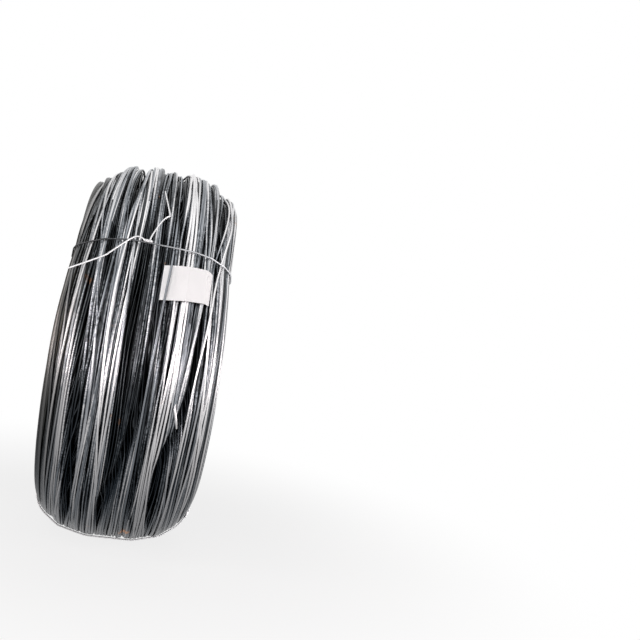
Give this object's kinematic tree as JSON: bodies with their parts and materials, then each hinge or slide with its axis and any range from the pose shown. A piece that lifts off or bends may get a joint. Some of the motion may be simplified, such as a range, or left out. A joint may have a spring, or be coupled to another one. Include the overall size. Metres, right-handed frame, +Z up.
{
  "type": "coil of wire rod",
  "caption": "Round coil of bare steel wire rod with an open eye, standing on its rim, bound with wire ties and carrying a blank paper tag.",
  "frame": {"origin": "centre of the coil's eye, on the coil's axis", "axes": "+X along the coil's axis, +Z up as the coil stands on its rim, -Y to the front with the paper tag"},
  "size_m": [0.3734, 0.8998, 0.8996],
  "materials": {
    "steel_rod": "dark drawn steel with silver and blue-grey streaks, a little rust",
    "tie_wire": "dull zinc-grey wire",
    "tag_paper": "matt white paper, blank"
  },
  "bodies": {
    "root": {"wire_coil": "steel_rod", "tie_wire_upper": "tie_wire", "tie_wire_lower": "tie_wire", "tie_wire_rear": "tie_wire", "paper_tag": "tag_paper"}
  },
  "joints": []
}
